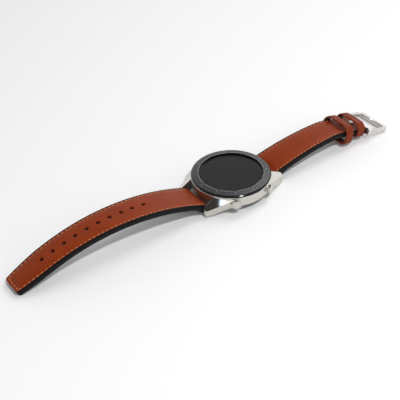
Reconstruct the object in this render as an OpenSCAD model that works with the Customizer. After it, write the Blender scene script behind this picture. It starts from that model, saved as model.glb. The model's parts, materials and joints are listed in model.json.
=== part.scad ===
// Round smartwatch with a metal case, two push buttons and a two-piece leather strap.
// Origin: centre of the resting face on the case back. +X 3 o'clock, +Y 12 o'clock, +Z display.

/* [Case] */
// Outside diameter of the rim under the bezel
case_d = 46.4; // [46:0.2:48]
// Outside diameter of the case wall
wall_d = 45; // [44.8:0.1:45.4]
// Thickness of the case wall
wall_t = 1.9; // [1.7:0.1:2.1]
// Height of the parting line between the case and the back cover
part_z = 4; // [3.8:0.1:4.2]
// Height of the seat for the bezel
seat_z = 10.6; // [10.6:0.1:11]
// Gap between the two lugs of a pair
lug_gap = 22; // [21.8:0.1:22.4]
// Distance of the lug tips from the centre line
lug_reach = 27.8; // [27.6:0.1:29]
// Distance of the spring bars from the centre line
bar_y = 25.6; // [25.4:0.1:25.8]
// Height of the spring bars
bar_z = 3.6; // [3.4:0.1:3.8]

/* [Bezel and display] */
// Outside diameter of the bezel
bezel_d = 45.9; // [45:0.1:46]
// Diameter of the opening over the glass
view_d = 37.2; // [36.8:0.1:37.6]
// Height of the bezel at its inner edge
bezel_top = 12.35; // [12.3:0.05:12.6]
// Thickness of the cover glass
glass_t = 1; // [0.9:0.05:1]

/* [Buttons] */
// Angle of each button above or below 3 o'clock
button_angle = 30; // [29:1:31]
// Height of the button centres
button_z = 6.8; // [6.7:0.1:7]
// Diameter of a button head
button_d = 5.8; // [5.2:0.1:6]
// Distance of a button face from the centre of the case
button_reach = 25.05; // [24.9:0.05:25.4]
// Diameter of a button stem
stem_d = 2.4; // [2.3:0.05:2.5]
// Travel of a button
button_travel = 0.4; // [0.3:0.05:0.4]

/* [Strap] */
// Width of both straps at the case
strap_w = 21.2; // [20.8:0.1:21.4]
// Thickness of the leather
leather_t = 1.2; // [1.1:0.05:1.3]
// Thickness of the rubber lining
lining_t = 1.8; // [1.6:0.1:1.9]
// Height of the padding above the stitched margins
pad_t = 0.6; // [0.4:0.1:0.8]
// Width of the long strap past its first taper
waist_w = 20; // [19.6:0.1:20.4]
// Width of the long strap where its tip begins
tip_start_w = 17.6; // [17:0.2:18.2]
// Number of adjustment holes
hole_count = 10; // [6:1:10]
// Spacing of the adjustment holes along the strap
hole_pitch = 7; // [6:0.1:7]
// Diameter of an adjustment hole
hole_d = 2.4; // [2:0.1:2.6]

/* [Buckle] */
// Width of the short strap at the buckle
buckle_strap_w = 18; // [17.6:0.1:18.2]
// Outside width of the buckle
buckle_w = 24.5; // [24.1:0.2:25.5]
// Reach of the buckle from its bar
buckle_len = 15.8; // [15.4:0.2:17]
// Thickness of the buckle's end bar
buckle_t = 2.5; // [2.4:0.1:2.8]
// Height of the buckle's arms at its bar
buckle_eye_d = 4.4; // [4.2:0.1:4.6]
// Width of each keeper along the strap
keeper_w = 5.8; // [5:0.2:6]

/* [Hidden] */
$fn = 96;
far = 400;
run_gap = 0.05;

// Case heights and radii
case_r = case_d / 2;
wall_r = wall_d / 2;
cavity_r = wall_r - wall_t;
bezel_r = bezel_d / 2;
view_r = view_d / 2;
rim_h = 0.6;
glass_r = view_r + 0.8;
lip_h = bezel_top - seat_z - 0.85;
lip_z = bezel_top - lip_h + 0.05;
glass_z = lip_z - glass_t - 0.05;
frame_top = glass_z - 0.25;
frame_floor = 8.8;

// Lugs: the outer side is tangent to the case wall, the top is a tilted flat
lug_in = lug_gap / 2;
lug_tangent = 21;
lug_tip_x = 13.7;
facet_pitch = 23.7;
facet_roll = 31.9;
facet_at = [14.4, -25.2, 5.1];
pin_hole_r = 0.5;
pin_hole_depth = 1.4;

// Back cover
cover_rim_r = wall_r - 0.3;
cover_flat_r = 12;
cover_floor = 0.4;
window_r = 10.4;
screw_ring_r = 19;
screw_angles = [45, 135, 225, 315];
screw_r = 0.6;
contact_at = [[-3, -14.5], [3, -14.5]];

// Boards, battery and display stack
board_r = 16.2;
board_z = 6.7;
board_t = 0.6;
display_r = 18.2;
display_z = 9.3;
post_ring_r = 14.5;
post_angles = [20, 110, 200, 290];
battery_size = [22, 27, 3.7];
battery_x = 1.5;
battery_z = 2.7;
motor_r = 4;

// Buttons, measured along each button's own axis from the centre of the case
stem_r = stem_d / 2;
head_r = button_d / 2;
head_t = 1.4;
head_back = button_reach - head_t;
collar_r = 2;
collar_end = head_back - button_travel - 0.15;
stem_end = 18.9;
clip_at = cavity_r - 0.55;
clip_t = 0.28;
seal_at = 21.8;
seal_r = 0.22;
switch_tip = stem_end - button_travel - 0.02;

// Strap loops round the spring bars and the buckle bar
loop_r = 2 * leather_t;
bar_tube_r = 0.8;
bar_pin_r = pin_hole_r - run_gap;
strap_t = leather_t + lining_t;

// Long strap: one arc up from the case, one arc down and a straight tip that rests at z = 0
tip_reach = 140.5;
long_apex_y = 80;
long_r2 = 120;
long_a2 = 22;
tip_run = tip_reach - long_apex_y - long_r2 * sin(long_a2);
long_apex_z = strap_t * cos(long_a2) + tip_run * tan(long_a2) + long_r2 * (1 - cos(long_a2)) + 0.02;
waist_y = 48;
tip_start_y = 118;
tip_w = 13.6;
first_hole = 20.3;

// Short strap: the same construction, ending in the loop round the buckle bar
short_apex = [71.8, 11.95];
short_r2 = 30;
short_a2 = 13.5;
short_run = 21.3;
short_taper_y = 80;
buckle_loop_r = 1.9;
buckle_bar_r = 0.75;
tongue_slot_w = 3;
keeper_t = 1.2;
// Each keeper: place along the straight stretch, inner width, room over the strap, gap under it, corners
keeper_free_spec = [4.5, buckle_strap_w + 1.6, 2.6, 4.5, 4, 2];
keeper_fixed_spec = [14.8, buckle_strap_w + 0.04, 3, 1, 3, 0.9];

// Buckle frame
buckle_arm = 2.3;
buckle_end = 2.8;

// Arc that leaves the spring bar loop and levels out at the apex
function rise_radius(apex) = (pow(apex[0] - bar_y, 2) + pow(apex[1] - bar_z, 2) - loop_r * loop_r)
    / (2 * (apex[1] - bar_z - loop_r));
function rise_angle(apex) = asin((apex[0] - bar_y) / (rise_radius(apex) - loop_r));
// Point on an arc about [y, z]; the angle is measured from straight up, positive outward
function on_arc(centre, r, a) = [centre[0] + r * sin(a), centre[1] + r * cos(a)];
// Points on the strap's margin line, moved by d along its normal, from the loop to the far end
function strap_line(apex, r2, a2, run, d) = let (
    r1 = rise_radius(apex),
    a1 = rise_angle(apex),
    n1 = 14,
    n2 = 12,
    end = on_arc([apex[0], apex[1] - r2], r2 + d, a2))
    concat(
        [for (i = [0 : n1]) on_arc([apex[0], apex[1] - r1], r1 + d, -a1 * (1 - i / n1))],
        [for (i = [1 : n2]) on_arc([apex[0], apex[1] - r2], r2 + d, a2 * i / n2)],
        [[end[0] + run * cos(a2), end[1] - run * sin(a2)]]);
function reversed(v) = [for (i = [len(v) - 1 : -1 : 0]) v[i]];
function from(v, first) = [for (i = [first : len(v) - 1]) v[i]];
function layer(apex, r2, a2, run, low, high) =
    concat(strap_line(apex, r2, a2, run, high), reversed(strap_line(apex, r2, a2, run, low)));
// Half turn round the case side of the spring bar, from the top of the strap to its underside
function loop_turn(apex, r) =
    [for (t = [12 : 12 : 180]) on_arc([bar_y, bar_z], r, -rise_angle(apex) - t)];
// Leather from the underside of its loop over the bar and out along the strap
function leather_side(apex, r2, a2, run) = concat(
    reversed(loop_turn(apex, loop_r)),
    strap_line(apex, r2, a2, run, 0));
function leather_return(apex, r2, a2, run) = concat(
    reversed(strap_line(apex, r2, a2, run, -leather_t)),
    loop_turn(apex, loop_r - leather_t));
// Lining: under the leather, round the bar and back along the underside, which thins away from the bar
function lining_upper(apex, r2, a2, run) = concat(
    reversed(loop_turn(apex, loop_r - leather_t)),
    strap_line(apex, r2, a2, run, -leather_t));
function lining_lower(apex, r2, a2, run) = concat(
    reversed(from(strap_line(apex, r2, a2, run, -strap_t), 2)),
    [on_arc([bar_y, bar_z], loop_r, 180 - rise_angle(apex))]);
long_apex = [long_apex_y, long_apex_z];
long_run = tip_run / cos(long_a2);
// Centre of the buckle bar, from the end of the short strap's straight stretch
short_end = let (e = on_arc([short_apex[0], short_apex[1] - short_r2], short_r2, short_a2))
    [e[0] + short_run * cos(short_a2), e[1] - short_run * sin(short_a2)];
buckle_bar = [short_end[0] - buckle_loop_r * sin(short_a2), short_end[1] - buckle_loop_r * cos(short_a2)];
// The buckle tilts until the underside of its end rests at z = 0
buckle_tilt = asin((buckle_bar[1] - 0.02) / buckle_len) - asin(buckle_t / 2 / buckle_len);

// Extrudes a [y, z] outline along X, centred
module along_x(w) {
    rotate([90, 0, 90]) linear_extrude(w, center = true) children();
}
// Cylinder along X between two X positions
module rod_x(r, x0, x1) {
    translate([x0, 0, 0]) rotate([0, 90, 0]) cylinder(r = r, h = x1 - x0, $fn = 48);
}
// Places children at a button, with +Z pointing out of the case
module at_button(side) {
    rotate([0, 0, side * button_angle]) translate([0, 0, button_z]) rotate([0, 90, 0]) children();
}
// Repeats children at the four lugs
module four_lugs() {
    for (mx = [0, 1], my = [0, 1])
        mirror([mx, 0, 0]) mirror([0, my, 0]) children();
}
module rounded_square(size, r) {
    square([size[0] - 2 * r, size[1]], center = true);
    square([size[0], size[1] - 2 * r], center = true);
    for (x = [-1, 1], y = [-1, 1])
        translate([x * (size[0] / 2 - r), y * (size[1] / 2 - r)]) circle(r, $fn = 40);
}
// Flat frame at the spring bar: +X outward along the strap, +Y up from it
module at_loop(apex) {
    translate([0, bar_y, bar_z]) rotate([rise_angle(apex), 0, 0]) children();
}
// Frame on the straight stretch of the short strap: origin on the margin line
module at_short(distance) {
    c = [short_apex[0], short_apex[1] - short_r2];
    p = on_arc(c, short_r2, short_a2);
    translate([0, p[0], p[1]]) rotate([-short_a2, 0, 0]) translate([0, distance, 0]) children();
}

// ---- Case ----
module lug() {
    tx = wall_r * cos(lug_tangent);
    ty = wall_r * sin(lug_tangent);
    intersection() {
        linear_extrude(seat_z) polygon([
            [lug_in, -14], [lug_in, -lug_reach + 0.6], [lug_in + 0.6, -lug_reach],
            [lug_tip_x - 0.8, -lug_reach], [lug_tip_x, -lug_reach + 0.7], [tx, -ty], [tx - 3, -ty]]);
        along_x(far) polygon([
            [-lug_reach - 1, 1.6], [-lug_reach + 1, 0.9], [-22.5, 1.6], [-18, 3.2], [-13, part_z],
            [0, part_z], [0, seat_z], [-lug_reach - 1, seat_z]]);
        translate(facet_at) rotate([facet_pitch, facet_roll, 0])
            translate([-50, -50, -100]) cube(100);
    }
}
module case_frame() {
    color("#b9b4a8") difference() {
        union() {
            rotate_extrude($fn = 160) polygon([
                [cavity_r, part_z], [wall_r - 0.3, part_z], [wall_r, part_z + 0.3],
                [wall_r, seat_z - rim_h - 0.5], [case_r, seat_z - rim_h], [case_r, seat_z - 0.15],
                [case_r - 0.15, seat_z], [cavity_r, seat_z]]);
            four_lugs() difference() {
                lug();
                cylinder(r = cavity_r + 0.2, h = far, center = true);
                cylinder(r = cover_rim_r + run_gap, h = part_z);
            }
            for (side = [-1, 1])
                at_button(side) translate([0, 0, cavity_r + 0.3])
                    cylinder(r = collar_r, h = collar_end - cavity_r - 0.3);
            for (a = screw_angles)
                rotate([0, 0, a]) translate([screw_ring_r, 0, part_z + 1.3]) {
                    cylinder(r = 1.5, h = 3);
                    translate([0, -1.5, 0]) cube([cavity_r - screw_ring_r + 0.3, 3, 3]);
                }
        }
        for (side = [-1, 1])
            at_button(side) translate([0, 0, cavity_r - 2])
                cylinder(r = stem_r + run_gap, h = 6);
        for (a = screw_angles)
            rotate([0, 0, a]) translate([screw_ring_r, 0, 0]) cylinder(r = screw_r, h = 7.6);
        for (s = [-1, 1])
            translate([0, s * bar_y, bar_z])
                rod_x(pin_hole_r, -lug_in - pin_hole_depth, lug_in + pin_hole_depth);
    }
}
module bezel() {
    color("#4a4a4c") rotate_extrude($fn = 160) polygon([
        [glass_r + run_gap, seat_z], [bezel_r - 0.35, seat_z], [bezel_r, seat_z + 0.35],
        [bezel_r, seat_z + 0.75], [bezel_r - 0.65, seat_z + 1.25], [view_r + 0.55, bezel_top],
        [view_r + 0.15, bezel_top], [view_r, bezel_top - 0.15], [view_r, lip_z],
        [glass_r + run_gap, lip_z]]);
}
module cover_glass() {
    color("#2b2b2d") translate([0, 0, glass_z]) cylinder(r = glass_r, h = glass_t);
}
module glass_gasket() {
    color("#151515") translate([0, 0, frame_top]) difference() {
        cylinder(r = glass_r, h = 0.25);
        translate([0, 0, -1]) cylinder(r = display_r + 0.4, h = 3);
    }
}
module display_panel() {
    color("#1b1c1f") translate([0, 0, display_z])
        cylinder(r = display_r, h = glass_z - 0.05 - display_z);
}
module display_flex() {
    color("#b5722a") along_x(7) polygon([
        [-15.5, board_z + board_t + 1.2], [-15.5, board_z + board_t + 1.1], [-11, board_z + board_t + 1.1],
        [-11, board_z + board_t], [-10.9, board_z + board_t], [-10.9, board_z + board_t + 1.2]]);
    color("#b5722a") translate([-3.5, -15.6, board_z + board_t + 1.1])
        cube([7, 0.15, display_z - board_z - board_t - 1.1]);
}
module inner_frame() {
    color("#2f3032") difference() {
        union() {
            translate([0, 0, frame_floor]) cylinder(r = cavity_r - 0.1, h = frame_top - frame_floor);
            for (a = post_angles)
                rotate([0, 0, a]) translate([post_ring_r, 0, board_z + board_t])
                    cylinder(r = 1.1, h = frame_floor - board_z - board_t + 0.1);
        }
        translate([0, 0, frame_floor + 0.4]) cylinder(r = display_r + 0.3, h = 3);
        translate([-4, -16.1, frame_floor - 1]) cube([8, 1, 3]);
        for (y = [-7.5, 7.5])
            translate([0, y, frame_floor - 1]) cylinder(r = 4.5, h = 3);
    }
}
module antenna() {
    color("#c9a24b") translate([0, 0, frame_top])
        rotate([0, 0, 60]) rotate_extrude(angle = 240) translate([glass_r + 0.25, 0]) square([0.7, 0.25]);
}
module main_board() {
    color("#1f5b3a") translate([0, 0, board_z]) difference() {
        cylinder(r = board_r, h = board_t);
        for (a = post_angles)
            rotate([0, 0, a]) translate([post_ring_r, 0, -1]) cylinder(r = 0.5, h = 3);
    }
}
module board_chips() {
    chips = [[-6, 7.5, 8, 7, 1], [4.5, 9, 5, 4, 0.8], [9.5, -1, 4, 5, 0.8], [-10.5, -1, 3.5, 3.5, 0.8]];
    color("#161616") for (c = chips)
        translate([c[0] - c[2] / 2, c[1] - c[3] / 2, board_z + board_t]) cube([c[2], c[3], c[4]]);
}
module shield_can() {
    color("#c4c6c8") translate([-7, -9.5, board_z + board_t]) difference() {
        cube([13, 11, 1.05]);
        translate([0.2, 0.2, -0.2]) cube([12.6, 10.6, 1.05]);
    }
}
module battery() {
    color("#3c4148") translate([battery_x, 0, battery_z])
        linear_extrude(battery_size[2]) rounded_square([battery_size[0], battery_size[1]], 2);
}
module battery_flex() {
    color("#b5722a") translate([battery_x + 2, battery_size[1] / 2, board_z - 1.2]) cube([4, 1.6, 0.15]);
    color("#b5722a") translate([battery_x + 2, battery_size[1] / 2 + 1.45, board_z - 1.05])
        cube([4, 0.15, 1.05]);
}
module vibration_motor() {
    color("#a9abae") translate([-14.4, 0, 3]) cylinder(r = motor_r, h = 2.7);
}
module sensor_board() {
    color("#1f5b3a") translate([0, 0, 1.5]) cylinder(r = 9.6, h = 0.5);
}
module sensor_leds() {
    color("#d8e6c8") {
        for (x = [-2, 2]) translate([x - 0.8, -0.8, 1.05]) cube([1.6, 1.6, 0.45]);
        for (a = [45, 135, 225, 315])
            rotate([0, 0, a]) translate([5.2, -1.2, 1.05]) cube([2, 2.4, 0.45]);
    }
}
module sensor_flex() {
    color("#b5722a") {
        translate([-10.4, 7, 1.7]) cube([0.9, 3, 0.15]);
        translate([-10.4, 7, 1.85]) cube([0.15, 3, board_z - 1.85]);
    }
}
module sensor_window() {
    color("#1a1d20") cylinder(r = window_r, h = 1);
}
// The cover's side follows a quarter ellipse from the parting line to its flat floor
function cover_side(r_span, z_span, z_top, r_in) =
    [for (i = [0 : 10]) [r_in + r_span * cos(i * 9), z_top - z_span * sin(i * 9)]];
module back_cover() {
    color("#17181a") difference() {
        union() {
            rotate_extrude($fn = 120) difference() {
                polygon(concat([[0, part_z]],
                    cover_side(cover_rim_r - cover_flat_r, part_z - cover_floor, part_z, cover_flat_r),
                    [[0, cover_floor]]));
                polygon(concat([[0, part_z + 1]], [[cover_rim_r - 2.2, part_z + 1]],
                    cover_side(cover_rim_r - 2.2 - cover_flat_r + 1, part_z - 1.3, part_z, cover_flat_r - 1),
                    [[0, 1.3]]));
            }
            translate([0, 0, part_z - 0.6]) difference() {
                cylinder(r = cavity_r - 0.1, h = 1.7);
                translate([0, 0, -1]) cylinder(r = cavity_r - 0.9, h = 4);
            }
            for (a = screw_angles)
                rotate([0, 0, a]) translate([screw_ring_r, 0, 2.2]) cylinder(r = 1.5, h = part_z - 1);
        }
        translate([0, 0, -1]) cylinder(r = window_r + run_gap, h = 4);
        for (a = screw_angles)
            rotate([0, 0, a]) translate([screw_ring_r, 0, -1]) {
                cylinder(r = screw_r + run_gap, h = 9);
                cylinder(r = 1.1, h = 3.4);
            }
        for (p = contact_at)
            translate([p[0], p[1], -1]) cylinder(r = 0.95, h = 5);
        translate([0, 0, part_z + 0.45]) difference() {
            cylinder(r = cavity_r + 1, h = 0.5);
            translate([0, 0, -1]) cylinder(r = cavity_r - 0.45, h = 3);
        }
    }
}
module back_gasket() {
    color("#2a2a2a") translate([0, 0, part_z + 0.7]) rotate_extrude()
        translate([cavity_r - 0.24, 0]) circle(0.2, $fn = 24);
}
module back_screws() {
    color("#b9bcc0") for (a = screw_angles)
        rotate([0, 0, a]) translate([screw_ring_r, 0, 1.9]) difference() {
            union() {
                cylinder(r = 1, h = 0.5);
                cylinder(r = screw_r - 0.02, h = 5);
            }
            translate([0, 0, -0.3]) cylinder(r = 0.45, h = 0.55, $fn = 6);
        }
}
module charging_pins() {
    color("#d9c089") for (p = contact_at)
        translate([p[0], p[1], 0.6]) cylinder(r = 0.9, h = 1.9);
}

// ---- Buttons ----
module switch_body(side) {
    color("#c8c9cb") at_button(side) {
        translate([-1, -1.6, switch_tip - 2]) cube([2, 3.2, 1.8]);
        translate([0, 0, switch_tip - 0.3]) cylinder(r = 0.5, h = 0.3);
    }
}
module switch_upper() switch_body(1);
module switch_lower() switch_body(-1);
module switch_flex() {
    color("#b5722a") {
        for (side = [-1, 1])
            at_button(side) translate([-1.6, -2, switch_tip - 2.15]) cube([3.2, 4, 0.15]);
        translate([0, 0, button_z + 1.5]) rotate([0, 0, -button_angle])
            rotate_extrude(angle = 2 * button_angle)
                translate([switch_tip - 2.15, 0]) square([0.15, 0.45]);
    }
}
module button(side) {
    color("#b9b4a8") at_button(side) difference() {
        union() {
            translate([0, 0, head_back]) rotate_extrude() polygon([
                [0, 0], [head_r - 0.35, 0], [head_r, 0.35], [head_r, head_t - 0.3],
                [head_r - 0.3, head_t], [0, head_t]]);
            translate([0, 0, stem_end]) cylinder(r = stem_r, h = head_back - stem_end + 0.1);
        }
        for (g = [[clip_at - 0.02, clip_t + 0.04], [seal_at - seal_r - 0.03, 2 * seal_r + 0.06]])
            translate([0, 0, g[0]]) difference() {
                cylinder(r = stem_r + 1, h = g[1]);
                translate([0, 0, -1]) cylinder(r = 0.78, h = 3);
            }
        translate([0, 0, button_reach - 0.12]) difference() {
            cylinder(r = head_r - 0.75, h = 1);
            translate([0, 0, -1]) cylinder(r = head_r - 1, h = 3);
        }
    }
}
module button_upper() button(1);
module button_lower() button(-1);
module button_seal(side) {
    color("#8a2f23") at_button(side) translate([0, 0, seal_at]) rotate_extrude()
        translate([stem_r + run_gap - 0.01 - seal_r, 0]) circle(seal_r, $fn = 24);
}
module button_seal_upper() button_seal(1);
module button_seal_lower() button_seal(-1);
module button_clip(side) {
    color("#8f9296") at_button(side) translate([0, 0, clip_at]) difference() {
        cylinder(r = 1.8, h = clip_t);
        translate([0, 0, -1]) cylinder(r = 0.8, h = 3);
        translate([0, -0.65, -1]) cube([3, 1.3, 3]);
    }
}
module button_clip_upper() button_clip(1);
module button_clip_lower() button_clip(-1);

// ---- Straps ----
// Half of the long strap's plan; the tip's sides curve in as a square law
function tip_half(y) = (tip_start_w - (tip_start_w - tip_w) * pow((y - tip_start_y)
    / (tip_reach - tip_start_y), 2)) / 2;
function long_plan() = let (
    sides = concat([[strap_w / 2, bar_y - 6], [strap_w / 2, bar_y]],
        [[waist_w / 2, waist_y]],
        [for (i = [0 : 9]) let (y = tip_start_y + (tip_reach - 1.5 - tip_start_y) * i / 9) [tip_half(y), y]],
        [for (a = [20 : 20 : 80]) [tip_half(tip_reach - 1.5) - 1.5 + 1.5 * cos(a),
            tip_reach - 1.5 + 1.5 * sin(a)]]))
    concat(sides, reversed([for (p = sides) [-p[0], p[1]]]));
module plan_cut(points) {
    translate([0, 0, -far / 2]) linear_extrude(far) polygon(points);
}
module adjustment_holes() {
    c = [long_apex[0], long_apex[1] - long_r2];
    arc_to_tip = long_r2 * long_a2 * PI / 180;
    for (i = [0 : hole_count - 1]) {
        s = arc_to_tip + long_run - first_hole - i * hole_pitch;
        r = s > 0 ? long_r2 : rise_radius(long_apex);
        a = s / r * 180 / PI;
        p = on_arc([long_apex[0], long_apex[1] - r], r, a);
        translate([0, p[0], p[1]]) rotate([-a, 0, 0]) cylinder(r = hole_d / 2, h = 12, center = true, $fn = 32);
    }
}
module pull_slot() {
    translate([5.2, -0.7, -4]) cube([3.3, 1.4, 4]);
}
module strap_long_leather() {
    line = [long_apex, long_r2, long_a2, long_run];
    color("#883e23") mirror([0, 1, 0]) difference() {
        intersection() {
            union() {
                along_x(strap_w) polygon(concat(leather_side(line[0], line[1], line[2], line[3]),
                    leather_return(line[0], line[1], line[2], line[3])));
                intersection() {
                    along_x(strap_w) polygon(layer(line[0], line[1], line[2], line[3], -0.2, pad_t));
                    plan_cut([[-6, bar_y + 2], [6, bar_y + 2], [5, tip_start_y],
                        [3, tip_reach - 7], [-3, tip_reach - 7], [-5, tip_start_y]]);
                }
            }
            plan_cut(long_plan());
        }
        adjustment_holes();
        at_loop(long_apex) pull_slot();
    }
}
module strap_long_lining() {
    color("#151515") mirror([0, 1, 0]) difference() {
        intersection() {
            along_x(strap_w) polygon(concat(lining_upper(long_apex, long_r2, long_a2, long_run),
                lining_lower(long_apex, long_r2, long_a2, long_run)));
            plan_cut(long_plan());
        }
        adjustment_holes();
        at_loop(long_apex) {
            rod_x(bar_tube_r + run_gap, -strap_w, strap_w);
            pull_slot();
        }
    }
}
// Spring bar tube with its solid end; the other end is bored for the release pin
module spring_bar(apex) {
    color("#a7a9ac") at_loop(apex) difference() {
        union() {
            rod_x(bar_tube_r, -lug_in + 0.3, lug_in - 0.3);
            rod_x(bar_pin_r, -lug_in - pin_hole_depth + 0.2, -lug_in + 0.4);
        }
        rod_x(pin_hole_r, 3.3, lug_in + 1);
        translate([5.5, -0.55, -2]) cube([2.7, 1.1, 2]);
    }
}
module release_pin(apex) {
    color("#a7a9ac") at_loop(apex) {
        rod_x(bar_pin_r, 5, lug_in + pin_hole_depth - 0.2);
        translate([7.6, 0, -2.75]) cylinder(r = 0.4, h = 2.75, $fn = 32);
    }
}
module spring_bar_long() mirror([0, 1, 0]) spring_bar(long_apex);
module release_pin_long() mirror([0, 1, 0]) release_pin(long_apex);
module spring_bar_short() spring_bar(short_apex);
module release_pin_short() release_pin(short_apex);
function short_plan() = let (
    y1 = short_end[0] + 4,
    sides = [[strap_w / 2, bar_y - 6], [strap_w / 2, bar_y], [buckle_strap_w / 2, short_taper_y],
        [buckle_strap_w / 2, y1]])
    concat(sides, reversed([for (p = sides) [-p[0], p[1]]]));
module tongue_slot() {
    translate([0, buckle_bar[0], buckle_bar[1]]) rotate([-short_a2, 0, 0])
        translate([-tongue_slot_w / 2, -2.5, -5]) cube([tongue_slot_w, 8, 10]);
}
// Half turn round the far side of the buckle bar
function buckle_turn() = [for (t = [12 : 12 : 180]) on_arc(buckle_bar, buckle_loop_r, short_a2 + t)];
module strap_short_leather() {
    color("#883e23") difference() {
        intersection() {
            union() {
                along_x(strap_w) polygon(concat(
                    leather_side(short_apex, short_r2, short_a2, short_run), buckle_turn(),
                    leather_return(short_apex, short_r2, short_a2, short_run)));
                intersection() {
                    along_x(strap_w) polygon(
                        layer(short_apex, short_r2, short_a2, 1, -0.2, pad_t));
                    plan_cut([[-6, bar_y + 2], [6, bar_y + 2], [5, short_taper_y - 2],
                        [-5, short_taper_y - 2]]);
                }
            }
            plan_cut(short_plan());
        }
        translate([0, buckle_bar[0], buckle_bar[1]]) rod_x(buckle_bar_r + run_gap, -far, far);
        tongue_slot();
        at_loop(short_apex) pull_slot();
    }
}
module strap_short_lining() {
    under = [short_end[0] - strap_t * sin(short_a2), short_end[1] - strap_t * cos(short_a2)];
    wedge = short_run - keeper_fixed_spec[0] - keeper_w / 2 - 0.1;
    thin = [under[0] - wedge * cos(short_a2), under[1] + wedge * sin(short_a2)];
    lower = lining_lower(short_apex, short_r2, short_a2, short_run);
    color("#151515") difference() {
        intersection() {
            along_x(strap_w) polygon(concat(
                lining_upper(short_apex, short_r2, short_a2, short_run),
                [on_arc(buckle_bar, buckle_loop_r, short_a2 + 180), thin],
                from(lower, 1)));
            plan_cut(short_plan());
        }
        translate([0, buckle_bar[0], buckle_bar[1]]) rod_x(buckle_bar_r + run_gap, -far, far);
        at_loop(short_apex) {
            rod_x(bar_tube_r + run_gap, -strap_w, strap_w);
            pull_slot();
        }
        tongue_slot();
    }
}

// ---- Keepers and buckle ----
// Flat band section from low to high, with its own corner radii at the bottom and the top
module band_section(w, low, high, r_low, r_high) {
    translate([-w / 2, low + r_low]) square([w, high - r_high - low - r_low]);
    translate([r_low - w / 2, low]) square([w - 2 * r_low, high - r_high - low]);
    translate([r_high - w / 2, low + r_low]) square([w - 2 * r_high, high - low - r_low]);
    for (x = [-1, 1]) {
        translate([x * (w / 2 - r_low), low + r_low]) circle(r_low, $fn = 48);
        translate([x * (w / 2 - r_high), high - r_high]) circle(r_high, $fn = 48);
    }
}
module keeper(spec) {
    low = -strap_t - spec[3];
    at_short(spec[0]) rotate([90, 0, 0]) linear_extrude(keeper_w, center = true) difference() {
        band_section(spec[1] + 2 * keeper_t, low - keeper_t, spec[2] + keeper_t,
            spec[5] + keeper_t, spec[4] + keeper_t);
        band_section(spec[1], low, spec[2], spec[5], spec[4]);
    }
}
module keeper_fixed() {
    color("#7d3820") keeper(keeper_fixed_spec);
}
module keeper_free() {
    color("#7d3820") keeper(keeper_free_spec);
}
// Frame at the buckle bar, with +Y along the buckle
module at_buckle() {
    translate([0, buckle_bar[0], buckle_bar[1]]) rotate([-buckle_tilt, 0, 0]) children();
}
// Side outline of an arm: a round eye at the bar, tapering to the end bar
module arm_outline() {
    circle(buckle_eye_d / 2, $fn = 60);
    polygon([[0, buckle_eye_d / 2], [0, -buckle_eye_d / 2], [buckle_len - 3, -buckle_t / 2],
        [buckle_len - 3, buckle_t / 2]]);
}
module buckle_frame() {
    arm_x = buckle_w / 2 - buckle_arm / 2;
    corner = 2.6;
    color("#b9b4a8") at_buckle() difference() {
        union() {
            for (s = [-1, 1])
                translate([s * arm_x, 0, 0]) along_x(buckle_arm) arm_outline();
            translate([0, 0, -buckle_t / 2]) linear_extrude(buckle_t) difference() {
                union() {
                    translate([-buckle_w / 2, buckle_len - 6]) square([buckle_w, 6 - corner]);
                    translate([corner - buckle_w / 2, buckle_len - 6]) square([buckle_w - 2 * corner, 6]);
                    for (s = [-1, 1])
                        translate([s * (buckle_w / 2 - corner), buckle_len - corner]) circle(corner, $fn = 60);
                }
                translate([buckle_arm - buckle_w / 2, 0])
                    square([buckle_w - 2 * buckle_arm, buckle_len - buckle_end]);
            }
        }
        rod_x(buckle_bar_r, -far, far);
        translate([-1.4, buckle_len - buckle_end - 1, buckle_t / 2 - 0.5]) cube([2.8, buckle_end + 2, 2]);
    }
}
module buckle_bar() {
    color("#a7a9ac") at_buckle() rod_x(buckle_bar_r, -buckle_w / 2 + 0.2, buckle_w / 2 - 0.2);
}
// The tongue lies back on the strap, under both keepers
module buckle_tongue() {
    eye_r = 1.5;
    lift = buckle_loop_r + 0.15;
    tongue_len = buckle_len - buckle_end / 2;
    color("#b9b4a8") translate([0, buckle_bar[0], buckle_bar[1]]) rotate([-short_a2, 0, 0]) difference() {
        union() {
            rod_x(eye_r, -1.2, 1.2);
            along_x(2.4) polygon([[-1.4, 0.3], [-0.2, 1.5], [-1.6, lift + 1], [-3, lift + 1.2],
                [-tongue_len + 1, lift + 1.2], [-tongue_len, lift + 0.7], [-tongue_len, lift],
                [-2.6, lift], [-1.4, lift - 0.8]]);
        }
        rod_x(buckle_bar_r + run_gap, -far, far);
    }
}

case_frame();
bezel();
cover_glass();
glass_gasket();
display_panel();
display_flex();
inner_frame();
antenna();
main_board();
board_chips();
shield_can();
battery();
battery_flex();
vibration_motor();
sensor_board();
sensor_leds();
sensor_flex();
sensor_window();
back_cover();
back_gasket();
back_screws();
charging_pins();
switch_upper();
switch_lower();
switch_flex();
button_upper();
button_lower();
button_seal_upper();
button_seal_lower();
button_clip_upper();
button_clip_lower();
strap_long_leather();
strap_long_lining();
spring_bar_long();
release_pin_long();
strap_short_leather();
strap_short_lining();
spring_bar_short();
release_pin_short();
keeper_fixed();
keeper_free();
buckle_frame();
buckle_bar();
buckle_tongue();
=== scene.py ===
# Round smartwatch with a two-piece lined leather strap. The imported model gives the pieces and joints;
# this script adds finishes and has its own straps, stitching, keepers, bezel and buckle frame.
import json
import math
import bmesh
import bpy
import numpy as np
from mathutils import Matrix, Vector


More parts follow.
